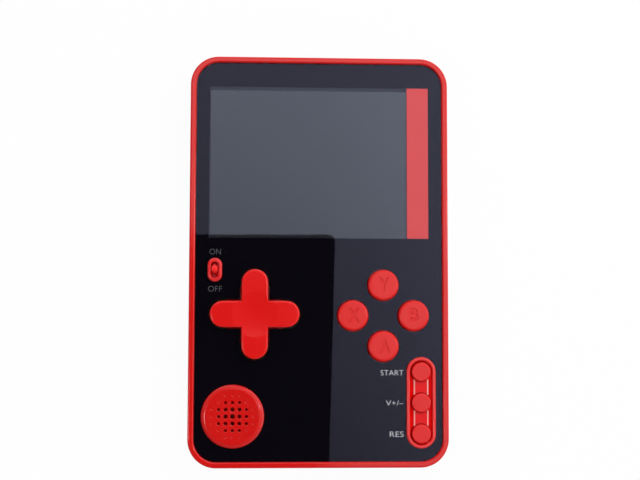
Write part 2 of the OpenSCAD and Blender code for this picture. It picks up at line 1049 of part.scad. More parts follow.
module lead(run, rise) {
    rotate([-90, 0, 0])
        cylinder(r = lead_r, h = run);
    translate([0, run, rise])
        rotate([0, -90, 0])
            rotate([0, 0, 90])
                rotate_extrude(angle = 90)
                    translate([rise, 0])
                        circle(lead_r);
}

module battery_leads() {
    x = battery_mid[0] + battery_w / 2 - lead_inset;
    y = battery_mid[1] - battery_l / 2;
    z = battery_z + battery_t / 2;
    color([0.8, 0.1, 0.1])
        for (s = [0, 1])
            translate([x - s * lead_pitch, y, z])
                mirror([0, 1, 0])
                    lead(y - board_far + lead_lap, board_z - z);
}

// Circuit board and what is on it

module board_outline() {
    difference() {
        union() {
            translate([board_left, board_near])
                square([board_right - board_left, board_far - board_near]);
            translate([board_right - tab_w, board_far - run_out])
                square([tab_w, tab_far - board_far + run_out]);
        }
        at(speaker_mid)
            circle(pocket_r + ring_gap);
        translate([left, near])
            square([speaker_inset_x, speaker_inset_y]);
        for (p = screw_places)
            at(p)
                circle(post_r + post_gap);
        translate([-socket_w / 2 - pass_gap, board_near - run_out])
            square([socket_w + 2 * pass_gap, socket_mid[1] + socket_l + pass_gap - board_near + run_out]);
        for (p = board_screw_places)
            at(p)
                circle(shank_r + pin_gap);
    }
}

module main_board() {
    color(board_green)
        layer(board_z, board_top)
            board_outline();
}

module chip(w, l, h, pins) {
    translate([-w / 2, -l / 2, -h])
        cube([w, l, h]);
    for (s = [-1, 1], i = [0:pins - 1])
        translate([s * (w / 2 + pin_out) - pin_l / 2, (i - (pins - 1) / 2) * pin_pitch - pin_w / 2, -pin_t])
            cube([pin_l, pin_w, pin_t]);
}

module main_chip() {
    color(dark_plastic)
        translate([mid_x + chip_off, pad_mid[1] - main_chip_drop, board_z])
            chip(main_chip_w, main_chip_w, main_chip_t, main_chip_pins);
}

module memory_chip() {
    color(dark_plastic)
        translate([mid_x + chip_off, pad_mid[1] - memory_drop, board_z])
            chip(memory_w, memory_l, memory_t, memory_pins);
}

module board_parts() {
    color([0.6, 0.5, 0.35])
        translate([mid_x - parts_off, pad_mid[1] - parts_drop, board_z]) {
            translate([-crystal_w / 2, -crystal_l / 2, -crystal_t])
                cube([crystal_w, crystal_l, crystal_t]);
            for (i = [0:cap_count - 1])
                translate([(i - (cap_count - 1) / 2) * cap_pitch - cap_w / 2, parts_row, -cap_t])
                    cube([cap_w, cap_l, cap_t]);
            translate([-coil_w / 2, -parts_row - crystal_l, -coil_t])
                cube([coil_w, coil_w, coil_t]);
        }
}

// Speaker

module speaker_basket() {
    color(steel)
        at(speaker_mid)
            rotate_extrude()
                polygon([
                    [speaker_r - basket_rim_w, speaker_top],
                    [speaker_r, speaker_top],
                    [speaker_r, speaker_top - basket_rim_t],
                    [speaker_r - basket_foot, basket_z],
                    [plate_r, basket_z],
                    [plate_r, basket_z + plate_t],
                    [speaker_r - basket_foot - basket_t, basket_z + plate_t],
                    [speaker_r - basket_rim_w, speaker_top - basket_rim_t + surround_gap]
                ]);
}

module speaker_cone() {
    edge_r = speaker_r - basket_rim_w - surround_gap;
    face = [
        [0, speaker_top - cap_drop + cap_crown],
        [cap_r, speaker_top - cap_drop],
        [coil_r, speaker_top - coil_drop],
        [edge_r - surround_w, speaker_top - surround_drop],
        [edge_r, speaker_top - surround_drop]
    ];
    back = [for (i = [len(face) - 1:-1:0]) face[i] - [0, paper_t]];
    color(dark_plastic)
        at(speaker_mid)
            rotate_extrude()
                polygon(concat(face, back));
}

module speaker_magnet() {
    color([0.4, 0.4, 0.42])
        at(speaker_mid) {
            peg(magnet_r, speaker_sole, basket_z);
            peg(pole_r, basket_z - eps, speaker_top - pole_gap);
        }
}

module speaker_gasket() {
    color([0.15, 0.15, 0.16])
        at(speaker_mid)
            difference() {
                peg(speaker_r, speaker_top, deck_z);
                peg(speaker_r - gasket_w, speaker_top - run_out, deck_z + run_out);
            }
}

module speaker_leads() {
    z = speaker_top - speaker_lead_drop;
    color([0.1, 0.1, 0.1])
        for (s = [-1, 1])
            translate([speaker_mid[0] + speaker_r + surround_gap, speaker_mid[1] + s * speaker_lead_side, z])
                rotate(-90)
                    mirror([0, 0, 1])
                        lead(speaker_lead_run, z - board_top);
}

// Rubber membranes

module dome(z1) {
    rotate_extrude()
        polygon([
            [0, z1],
            [dome_r - dome_wall, z1],
            [dome_r, board_top + sheet_t],
            [dome_r, board_top],
            [dome_r - dome_wall, board_top],
            [dome_r - dome_wall - dome_web, board_top + dome_hollow],
            [0, board_top + dome_hollow]
        ]);
}

module membrane_sheet(domes) {
    difference() {
        layer(board_top, board_top + sheet_t)
            children();
        for (p = domes)
            at(p)
                peg(dome_r - eps, board_top - run_out, board_top + sheet_t + run_out);
    }
}

module pad_membrane() {
    places = [for (t = face_turns) pad_mid + pad_dome_at * t];
    color(rubber_grey) {
        membrane_sheet(places)
            difference() {
                at(pad_mid)
                    circle(pad_dome_at + dome_r + pad_sheet_edge);
                at(pad_mid)
                    circle(pad_sheet_hole_r);
                at(switch_mid)
                    square([switch_w + 2 * pass_gap, switch_l + 2 * pass_gap], center = true);
            }
        for (p = places)
            at(p)
                dome(pad_dome_top);
    }
}

module face_membrane() {
    places = [for (t = face_turns) face_mid + face_pitch * t];
    color(rubber_grey) {
        membrane_sheet(places) {
            at(face_mid)
                rotate(45)
                    square(face_sheet_share * face_pitch, center = true);
            for (p = places)
                at(p)
                    circle(dome_r + face_sheet_edge);
        }
        for (p = places)
            at(p)
                dome(dome_top);
    }
}

module menu_membrane() {
    places = [for (s = [-1:1]) menu_mid + [0, s * menu_pitch]];
    color(rubber_grey) {
        membrane_sheet(places)
            at(menu_mid)
                slot_outline(dome_d + 2 * menu_sheet_edge, 2 * (menu_pitch + dome_r + menu_sheet_edge));
        for (p = places)
            at(p)
                dome(dome_top);
    }
}

// Power switch

module switch_body() {
    well_l = switch_travel + lever_w + 2 * switch_end;
    color(steel)
        at(switch_mid)
            difference() {
                translate([-switch_w / 2, -switch_l / 2, board_top])
                    cube([switch_w, switch_l, switch_h]);
                translate([-lever_w / 2 - lever_gap, -well_l / 2, board_top + switch_well])
                    cube([lever_w + 2 * lever_gap, well_l, switch_h]);
            }
}

module switch_lever() {
    color(dark_plastic)
        at(switch_mid + [0, knob_at])
            translate([-lever_w / 2, -lever_w / 2, lever_z])
                cube([lever_w, lever_w, lever_top - lever_z]);
}

module switch_knob() {
    color(key_red)
        at(switch_mid + [0, knob_at])
            difference() {
                union() {
                    layer(slider_sole, slider_top)
                        round_rect(slider_w, slider_l, slider_corner_r);
                    layer(slider_top - eps, collar_top - stem_drop)
                        slot_outline(stem_w, stem_l);
                    at([-knob_side, 0])
                        rotate_extrude()
                            edge_section(knob_d / 2, slider_top - eps, collar_top + knob_rise, knob_edge_r);
                }
                translate([-lever_w / 2 - lever_fit, -lever_w / 2 - lever_fit, slider_sole - cut])
                    cube([lever_w + 2 * lever_fit, lever_w + 2 * lever_fit, lever_in + lever_fit + cut]);
            }
}

// Charging socket

module socket_shell() {
    color(steel) {
        translate([socket_mid[0], socket_mid[1], seam_z])
            rotate([-90, 0, 0])
                difference() {
                    linear_extrude(socket_l)
                        rotate(90)
                            slot_outline(socket_h, socket_w);
                    translate([0, 0, -cut])
                        linear_extrude(socket_l - socket_back + cut)
                            rotate(90)
                                slot_outline(socket_h - 2 * socket_t, socket_w - 2 * socket_t);
                }
        at(socket_mid)
            for (s = [-1, 1], y = foot_places)
                translate([s * (socket_w / 2 + foot_t) - foot_w / 2, y, board_top])
                    cube([foot_w, foot_l, foot_t]);
    }
}

module socket_tongue() {
    color(dark_plastic)
        translate([socket_mid[0] - tongue_w / 2, socket_mid[1] + tongue_in, seam_z - tongue_t / 2])
            cube([tongue_w, socket_l - socket_back - tongue_in, tongue_t]);
}

// Fasteners

module screw(z0, z1) {
    difference() {
        union() {
            rotate_extrude()
                translate([0, z0 + head_h])
                    mirror([0, 1])
                        edge_section(head_r, 0, head_h, head_edge_r);
            peg(shank_r, z0 + head_h - eps, z1);
        }
        for (a = [0, 90])
            rotate(a)
                translate([-recess_l / 2, -recess_w / 2, z0 - cut])
                    cube([recess_l, recess_w, recess_depth + cut]);
    }
}

module case_screws() {
    color(steel)
        for (p = screw_places)
            at(p)
                screw(head_z, screw_end);
}

module board_screws() {
    color(steel)
        for (p = board_screw_places)
            at(p)
                screw(board_z - head_h, screw_end);
}

// Direction pad

module pad_pivot() {
    color(steel)
        at(pad_mid)
            translate([0, 0, pivot_z])
                sphere(pivot_r);
}

module pad_bar() {
    loop_solid(0, (pad_span - pad_arm) / 2, pad_sole, pad_top)
        edge_section(pad_arm / 2, pad_sole + pad_bar_lift, pad_top, pad_edge_r);
}

module direction_pad() {
    ball = (dish_r * dish_r + dish_depth * dish_depth) / (2 * dish_depth);
    color(key_red)
        at(pad_mid)
            difference() {
                union() {
                    pad_bar();
                    rotate(90)
                        pad_bar();
                    rotate_extrude()
                        polygon([
                            [0, pad_sole],
                            [pad_flange_r, pad_sole],
                            [pad_flange_r, pad_flange_top - pad_flange_r * pad_slope],
                            [0, pad_flange_top]
                        ]);
                }
                translate([0, 0, pad_top - dish_depth + ball])
                    sphere(ball, $fn = dish_fn);
                translate([0, 0, pivot_z])
                    sphere(pivot_r + pivot_gap);
            }
}

// Face and menu buttons

module face_button(t) {
    color(key_red)
        at(face_mid + face_pitch * t) {
            rotate_extrude() {
                edge_section(face_r, flange_sole, face_top, face_edge_r);
                translate([0, flange_sole])
                    square([flange_r, flange_t]);
            }
            key_lug(t, 0, flange_sole, flange_top, lug_l);
        }
}

module button_y() {
    face_button(face_turns[0]);
}

module button_b() {
    face_button(face_turns[1]);
}

module button_a() {
    face_button(face_turns[2]);
}

module button_x() {
    face_button(face_turns[3]);
}

module menu_button(s) {
    color(key_red)
        at(menu_mid + [0, s * menu_pitch])
            rotate_extrude() {
                edge_section(menu_r, flange_sole, menu_top, menu_edge_r);
                translate([0, flange_sole])
                    square([menu_flange_r, flange_t]);
            }
}

module start_button() {
    menu_button(1);
}

module volume_button() {
    menu_button(0);
}

module reset_button() {
    menu_button(-1);
}

rear_cover();
front_shell();
front_panel();
panel_film();
accent_strip();
lcd_glass();
lcd_frame();
lcd_flex();
battery();
battery_foam();
battery_leads();
main_board();
main_chip();
memory_chip();
board_parts();
speaker_basket();
speaker_cone();
speaker_magnet();
speaker_gasket();
speaker_leads();
pad_membrane();
face_membrane();
menu_membrane();
switch_body();
socket_shell();
socket_tongue();
case_screws();
board_screws();
pad_pivot();
direction_pad();
button_y();
button_b();
button_a();
button_x();
start_button();
volume_button();
reset_button();
switch_knob();
switch_lever();
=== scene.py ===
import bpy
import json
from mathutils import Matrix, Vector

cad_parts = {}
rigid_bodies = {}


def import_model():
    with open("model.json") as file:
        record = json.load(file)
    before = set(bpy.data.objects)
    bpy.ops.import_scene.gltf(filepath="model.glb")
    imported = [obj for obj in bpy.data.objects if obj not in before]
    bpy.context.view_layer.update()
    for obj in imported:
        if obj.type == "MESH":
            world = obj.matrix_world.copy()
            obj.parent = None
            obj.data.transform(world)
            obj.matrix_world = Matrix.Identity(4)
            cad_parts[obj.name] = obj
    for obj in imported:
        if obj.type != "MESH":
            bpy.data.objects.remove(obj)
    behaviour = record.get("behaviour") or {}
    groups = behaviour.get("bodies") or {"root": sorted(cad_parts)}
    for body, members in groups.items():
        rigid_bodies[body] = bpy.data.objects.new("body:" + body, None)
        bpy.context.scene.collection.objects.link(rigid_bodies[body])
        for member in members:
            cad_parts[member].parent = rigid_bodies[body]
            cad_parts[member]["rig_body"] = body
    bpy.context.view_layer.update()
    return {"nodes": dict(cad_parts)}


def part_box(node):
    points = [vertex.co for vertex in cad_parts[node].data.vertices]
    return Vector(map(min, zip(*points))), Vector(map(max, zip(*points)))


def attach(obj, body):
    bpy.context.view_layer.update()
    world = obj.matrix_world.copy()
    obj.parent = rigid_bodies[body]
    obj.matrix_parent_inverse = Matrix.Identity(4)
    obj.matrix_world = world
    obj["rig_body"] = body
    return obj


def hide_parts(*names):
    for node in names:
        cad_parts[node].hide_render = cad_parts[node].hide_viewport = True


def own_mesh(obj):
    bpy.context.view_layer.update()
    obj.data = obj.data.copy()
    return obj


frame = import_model()

import json
import math

import bmesh
import bpy
from mathutils import Matrix, Vector

scene = bpy.context.scene
nodes = frame["nodes"]
mm = 0.001
plainWhite = (1, 1, 1, 1)


class Wire:
    # a shader socket that takes part in sums
    def __init__(self, recipe, socket):
        self.recipe = recipe
        self.socket = socket

    def sum(self, operation, first, second=None):
        values = {0: first} if second is None else {0: first, 1: second}
        return self.recipe.add("ShaderNodeMath", {"operation": operation}, values)

    def __add__(self, other):
        return self.sum("ADD", self, other)

    def __radd__(self, other):
        return self.sum("ADD", other, self)

    def __sub__(self, other):
        return self.sum("SUBTRACT", self, other)

    def __rsub__(self, other):
        return self.sum("SUBTRACT", other, self)

    def __mul__(self, other):
        return self.sum("MULTIPLY", self, other)

    def __rmul__(self, other):
        return self.sum("MULTIPLY", other, self)

    def __pow__(self, other):
        return self.sum("POWER", self, other)

    def __gt__(self, other):
        return self.sum("GREATER_THAN", self, other)

    def __lt__(self, other):
        return self.sum("LESS_THAN", self, other)

    def __or__(self, other):
        return self.sum("MAXIMUM", self, other)  # the larger of the two

    def __abs__(self):
        return self.sum("ABSOLUTE", self)


class Recipe:
    # the node tree of one material, or of the world
    def __init__(self, tree):
        self.tree = tree
        tree.nodes.clear()

    def add(self, kind, settings=None, values=None, out=0):
        node = self.tree.nodes.new(kind)
        for key, value in (settings or {}).items():
            setattr(node, key, value)
        for key, value in (values or {}).items():
            if isinstance(value, Wire):
                self.tree.links.new(value.socket, node.inputs[key])
            else:
                node.inputs[key].default_value = value
        return Wire(self, node.outputs[out]) if node.outputs else node

    def split(self, way):
        ends = self.add("ShaderNodeSeparateXYZ", None, {0: way}).socket.node.outputs
        return [Wire(self, end) for end in ends]

    def place(self):
        return self.add("ShaderNodeTexCoord", out="Object")

    def rays(self, first, *others):
        ray = self.add("ShaderNodeLightPath", out=first)
        ends = ray.socket.node.outputs
        for kind in others:
            ray = ray | Wire(self, ends[kind])
        return ray

    def noise(self, size, detail=3, rough=0.55):
        return self.add("ShaderNodeTexNoise", None, {
            "Vector": self.place(), "Scale": 1 / size, "Detail": detail, "Roughness": rough})

    def fade(self, value, low, high, start=0, end=1):
        return self.add("ShaderNodeMapRange", {"interpolation_type": "SMOOTHSTEP"}, {
            0: value, 1: low, 2: high, 3: start, 4: end})

    def blend(self, share, first, second):
        return self.add("ShaderNodeMix", {"data_type": "RGBA"}, {
            0: share, 6: opaque(first), 7: opaque(second)}, out=2)

    def bump(self, height, depth):
        return self.add("ShaderNodeBump", None, {
            "Strength": 1.0, "Distance": depth, "Height": height})

    def swing(self, middle, span, share):
        # a value that varies about its middle
        return middle - span / 2 + span * share

    def surface(self, shader):
        self.add("ShaderNodeOutputMaterial", None, {"Surface": shader})


def opaque(colour):
    return colour if isinstance(colour, Wire) else (*colour, 1)


def startFinish(name):
    material = bpy.data.materials.new(name)
    material.use_nodes = True
    return material, Recipe(material.node_tree)


def coat(name, material):
    for slot in nodes[name].material_slots:
        slot.material = material


# Camera, set from the outline of the front panel
cameraSet = {
    "eye": (-0.012259, -0.013614, 0.27965),
    "right": (0.9989364, 0.00225213, 0.04605436),
    "up": (-0.00540403, 0.99764134, 0.06842918),
    "ahead": (0.04579163, 0.06860528, -0.99659242),
    "lens": 61.875,
    "sensor": 36.0,
    "near": 0.01,
}


def makeCamera(setting):
    data = bpy.data.cameras.new("photoCamera")
    data.lens = setting["lens"]
    data.sensor_width = setting["sensor"]
    data.sensor_fit = "HORIZONTAL"
    data.clip_start = setting["near"]
    camera = bpy.data.objects.new("photoCamera", data)
    scene.collection.objects.link(camera)
    turn = Matrix([setting["right"], setting["up"], [-a for a in setting["ahead"]]]).transposed().to_4x4()
    camera.matrix_world = Matrix.Translation(setting["eye"]) @ turn
    scene.camera = camera


makeCamera(cameraSet)
scene.view_settings.view_transform = "Standard"
print("camera set")


# Red mouldings: glossy shell, satin cross pad and keys
redSet = {
    "shellRed": {"light": (0.665, 0.0094, 0.0080), "dark": (0.625, 0.0078, 0.0066), "rough": 0.14,
                 "grain": 0.00016, "depth": 0.000002, "on": ("rear_cover",)},
    "padRed": {"light": (0.745, 0.0058, 0.0050), "dark": (0.715, 0.0044, 0.0038), "rough": 0.21,
               "grain": 0.00022, "depth": 0.0000015, "on": ("direction_pad",)},
    "keyRed": {"light": (0.725, 0.0080, 0.0074), "dark": (0.695, 0.0066, 0.0060), "rough": 0.25,
               "grain": 0.00022, "depth": 0.000002,
               "on": ("button_y", "button_b", "button_a", "button_x",
                      "start_button", "volume_button", "reset_button")},
    # painted light: the knob's brighter red lifts it out of the slot's shade
    "knobRedPaintedLight": {"light": (0.92, 0.022, 0.022), "dark": (0.88, 0.018, 0.018), "rough": 0.25,
                "grain": 0.00022, "depth": 0.000002, "on": ("switch_knob",)},
    "glow": {"share": 0.85, "reach": (1.0, 0.08, 0.08), "scale": 0.7 * mm, "bend": 1.57},
    "wear": {"cloud": 0.012, "handled": 0.004, "span": 0.06},
}


def redBase(recipe, setting):
    cloud = recipe.noise(redSet["wear"]["cloud"], detail=2)
    return recipe.blend(cloud, setting["dark"], setting["light"])


def redPlastic(recipe, setting, colour, shine=0.5):
    glow, wear = redSet["glow"], redSet["wear"]
    handled = recipe.noise(wear["handled"], detail=4, rough=0.6)
    return recipe.add("ShaderNodeBsdfPrincipled", None, {
        "Base Color": colour,
        "Roughness": recipe.swing(setting["rough"], wear["span"], handled),
        "Normal": recipe.bump(recipe.noise(setting["grain"], detail=2), setting["depth"]),
        "IOR": glow["bend"],
        "Specular IOR Level": shine,
        "Subsurface Weight": glow["share"],
        "Subsurface Radius": glow["reach"],
        "Subsurface Scale": glow["scale"],
    })


for finish in ("shellRed", "padRed", "keyRed", "knobRedPaintedLight"):
    material, recipe = startFinish(finish)
    recipe.surface(redPlastic(recipe, redSet[finish], redBase(recipe, redSet[finish])))
    for name in redSet[finish]["on"]:
        coat(name, material)
print("red mouldings coated")


# Front shell, in millimetres: painted sheen on the bead, collar and bridge tops, painted red glow in the matt
# trough round the menu keys and in the switch slot, painted highlights on the bridge edges
frontSet = {
    "menu": {"at": (25.18, -34.9), "half": 7.55, "inner": 2.79, "outer": 3.65},
    "switch": {"at": (-25.65, -2.4), "half": 1.03, "inner": 0.9, "outer": 1.95, "slot": 1.0},
    "proud": 8.62, "inside": 8.95, "floor": (8.26, 8.42), "edge": (1.44, 1.54, 1.84, 1.88),
    # the colours below paint light: sheen on the bead, collar and bridge tops, red glow in the trough and the
    # slot, highlights on the bridge edges
    "bead": (0.76, 0.046, 0.046), "collar": (0.72, 0.030, 0.032),
    "trough": (0.76, 0.0058, 0.0056), "bridgeSheen": (0.74, 0.026, 0.029), "pale": (0.88, 0.42, 0.38),
    "slot": (0.95, 0.016, 0.016), "key": (1.70, 2.15),
}


def along(x, y, zone):
    # distance from the middle line of a round-ended slot
    dx = x - zone["at"][0]
    dy = (abs(y - zone["at"][1]) - zone["half"]) | 0.0
    return (dx * dx + dy * dy) ** 0.5


def frontShell(setting):
    material, recipe = startFinish("frontRed")
    x, y, z = [axis * 1000 for axis in recipe.split(recipe.place())]  # metres to millimetres
    menu, switch = setting["menu"], setting["switch"]
    out = along(x, y, menu)
    ring = along(x, y, switch)
    # painted sheen: the bead and the collar tops get a paler, pinker red
    bead = (out > menu["inner"]) * (out < menu["outer"]) * (z > setting["proud"])
    collar = (ring > switch["inner"]) * (ring < switch["outer"]) * (z > setting["proud"])
    # painted red glow: the switch slot's walls get a brighter red that lifts their shade
    slot = (ring < switch["slot"]) * (z < setting["inside"])
    # the trough round the menu keys is matt; its deep red is painted red glow, and the bridge tops' pinker
    # red is painted sheen
    trough = (out < menu["inner"]) * (z < setting["inside"])
    bridgeSheen = recipe.fade(z, *setting["floor"])
    # painted highlights: pale pink lines along both edges of each bridge
    side = abs(x - menu["at"][0])
    a, b, c, d = setting["edge"]
    edge = recipe.fade(side, a, b) * recipe.fade(side, c, d, 1, 0) * bridgeSheen
    part = abs(y - menu["at"][1])  # the painted highlights on the bridge edges stop beside each of the three keys
    edge = edge * recipe.fade(part, *setting["key"]) * recipe.fade(abs(part - menu["half"]), *setting["key"])
    base = recipe.blend(bead, redBase(recipe, redSet["shellRed"]), setting["bead"])
    base = recipe.blend(slot, recipe.blend(collar, base, setting["collar"]), setting["slot"])
    # painted red glow on the trough floor, painted sheen on the bridge tops, painted highlights on their
    # edges
    inner = recipe.blend(bridgeSheen, setting["trough"], setting["bridgeSheen"])
    inner = recipe.blend(edge, inner, setting["pale"])
    glossy = redPlastic(recipe, redSet["shellRed"], base)
    matt = redPlastic(recipe, redSet["shellRed"], inner, shine=0.0)
    recipe.surface(recipe.add("ShaderNodeMixShader", None, {0: trough, 1: glossy, 2: matt}))
    return material


coat("front_shell", frontShell(frontSet))
print("front shell coated")


# Letters sunk into the four face buttons: key, letter, width, height, shift from the middle
letterSet = {
    "slope": 0.13 * mm, "wider": 0.04 * mm, "depth": 0.20 * mm, "proud": 0.3 * mm,
    "capShare": 0.729, "steps": 6, "weld": 0.0005 * mm, "crease": math.radians(40), "topBand": 0.01 * mm,
    "rows": (
        ("button_y", "Y", 2.6, 3.6, (0.10, 0.17)),
        ("button_b", "B", 2.5, 3.4, (-0.05, 0.26)),
        ("button_a", "A", 2.6, 3.7, (0.30, 0.14)),
        ("button_x", "X", 2.9, 3.8, (0.20, 0.10)),
    ),
}


def topMiddle(name):
    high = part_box(name)[1].z
    top = [v.co for v in nodes[name].data.vertices if v.co.z > high - letterSet["topBand"]]
    xs, ys = [p.x for p in top], [p.y for p in top]
    return Vector(((min(xs) + max(xs)) / 2, (min(ys) + max(ys)) / 2, high))


def wordCurve(name, words, capHeight, thick, thin=0):
    data = bpy.data.curves.new(name, "FONT")
    data.body = words
    data.align_x = "CENTER"
    data.align_y = "CENTER"
    data.size = capHeight / letterSet["capShare"]
    data.extrude = thick / 2
    data.resolution_u = letterSet["steps"]
    data.offset = thin
    thing = bpy.data.objects.new(name, data)
    scene.collection.objects.link(thing)
    return thing


def letterMesh(name, letter, width, height):
    # the walls lean out from a flat floor of the drawn stroke
    slope, depth, proud = letterSet["slope"], letterSet["depth"], letterSet["proud"]
    drawn = wordCurve(name + "_drawn", letter, height * mm - 2 * slope, 2 * proud, letterSet["wider"])
    drawn.data.bevel_depth = slope
    drawn.data.bevel_resolution = 0
    mesh = bpy.data.meshes.new_from_object(drawn.evaluated_get(bpy.context.evaluated_depsgraph_get()))
    bpy.data.objects.remove(drawn)
    build = bmesh.new()
    build.from_mesh(mesh)
    bmesh.ops.remove_doubles(build, verts=build.verts, dist=letterSet["weld"])
    bmesh.ops.recalc_face_normals(build, faces=build.faces)
    xs, ys = [v.co.x for v in build.verts], [v.co.y for v in build.verts]
    middle = Vector(((min(xs) + max(xs)) / 2, (min(ys) + max(ys)) / 2, 0))
    wide = width * mm / (max(xs) - min(xs))
    floor = -proud - slope
    for v in build.verts:
        # floor at 0, the slope's top at the key's face
        level = min((v.co.z - floor) / slope * depth, depth + proud)
        v.co = Vector(((v.co.x - middle.x) * wide, v.co.y - middle.y, level - depth))
    build.to_mesh(mesh)
    build.free()
    return mesh


def sinkLetter(name, letter, width, height, shift):
    cutter = bpy.data.objects.new(name + "_cutter", letterMesh(name, letter, width, height))
    scene.collection.objects.link(cutter)
    cutter.location = topMiddle(name) + Vector((shift[0] * mm, shift[1] * mm, 0))
    cutter.hide_render = True
    key = nodes[name]
    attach(cutter, key["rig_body"])
    weld = key.modifiers.new("weld", "WELD")
    weld.merge_threshold = letterSet["weld"]
    sink = key.modifiers.new("sink", "BOOLEAN")
    sink.operation = "DIFFERENCE"
    sink.solver = "EXACT"
    sink.use_self = True
    sink.object = cutter
    crease = key.modifiers.new("crease", "EDGE_SPLIT")
    crease.split_angle = letterSet["crease"]
    key.modifiers.new("even", "WEIGHTED_NORMAL").keep_sharp = True


for row in letterSet["rows"]:
    sinkLetter(*row)
print("letters sunk")


# Clear panel, its black film and the red strip
panelSet = {
    "rough": 0.012, "bend": 1.32, "tint": (0.66, 0.675, 1.0),
    "smudge": 0.02, "smudgeSize": 0.009, "smudgeFrom": (0.5, 0.8),
}
filmSet = {"ink": (0.0022, 0.0017, 0.0034), "thin": (0.0030, 0.0025, 0.0046), "rough": 0.5}
stripSet = {"ink": (0.615, 0.064, 0.056), "thin": (0.59, 0.057, 0.051), "rough": 0.45}
printSet = {"cloud": 0.006, "fine": 0.0008, "span": 0.1, "grain": 0.0002, "depth": 0.000002}


def clearPanel(setting):
    material, recipe = startFinish("clearPanel")
    smudge = recipe.fade(recipe.noise(setting["smudgeSize"], detail=4, rough=0.65), *setting["smudgeFrom"])
    glass = recipe.add("ShaderNodeBsdfPrincipled", None, {
        "Base Color": plainWhite,
        "Roughness": setting["rough"] + setting["smudge"] * smudge,
        "IOR": setting["bend"],
        "Transmission Weight": 1.0,
        # painted reflection colour: the blue tint gives the panel's reflections a bluish cast
        "Specular Tint": (*setting["tint"], 1),
    })
    through = recipe.add("ShaderNodeBsdfTransparent")
    passing = recipe.rays("Is Shadow Ray", "Is Diffuse Ray")  # light reaches the film without being bent
    recipe.surface(recipe.add("ShaderNodeMixShader", None, {0: passing, 1: glass, 2: through}))
    return material


def printedInk(name, setting):
    material, recipe = startFinish(name)
    cloud = recipe.noise(printSet["cloud"], detail=4)
    fine = recipe.noise(printSet["fine"])
    recipe.surface(recipe.add("ShaderNodeBsdfPrincipled", None, {
        "Base Color": recipe.blend(cloud, setting["ink"], setting["thin"]),
        "Roughness": recipe.swing(setting["rough"], printSet["span"], fine),
        "Normal": recipe.bump(recipe.noise(printSet["grain"], detail=2), printSet["depth"]),
        "Specular IOR Level": 0.0,
    }))
    return material


coat("front_panel", clearPanel(panelSet))
coat("panel_film", printedInk("blackFilm", filmSet))
coat("accent_strip", printedInk("redStrip", stripSet))
print("front panel coated")


# Screen behind the window: a dark mirror-like glass with a matt edge round it
screenSet = {
    "left": -27.0 * mm, "right": 21.96 * mm, "low": 5.42 * mm, "high": 42.45 * mm,
    "picture": (0.0115, 0.0125, 0.0165), "edge": (0.040, 0.044, 0.062), "rough": 0.03,
    "bend": 1.667, "tint": (0.73, 0.83, 1.0), "edgeRough": 0.4,
    "cloud": 0.02, "spread": (0.9, 1.1), "fine": 0.0005, "span": 0.01,
}


def screenGlass(setting):
    material, recipe = startFinish("screenGlass")
    x, y = recipe.split(recipe.place())[:2]
    inside = (x > setting["left"]) * (x < setting["right"]) * (y > setting["low"]) * (y < setting["high"])
    cloud = recipe.noise(setting["cloud"], detail=2)
    dim, lit = [[c * k for c in setting["picture"]] for k in setting["spread"]]
    glass = recipe.add("ShaderNodeBsdfPrincipled", None, {
        "Base Color": recipe.blend(cloud, dim, lit),
        "Roughness": setting["rough"] + setting["span"] * recipe.noise(setting["fine"], detail=2),
        "IOR": setting["bend"],
        "Specular Tint": (*setting["tint"], 1),
    })
    edge = recipe.add("ShaderNodeBsdfPrincipled", None, {
        "Base Color": (*setting["edge"], 1), "Roughness": setting["edgeRough"], "Specular IOR Level": 0.0})
    recipe.surface(recipe.add("ShaderNodeMixShader", None, {0: inside, 1: edge, 2: glass}))
    return material


coat("lcd_glass", screenGlass(screenSet))
print("screen coated")


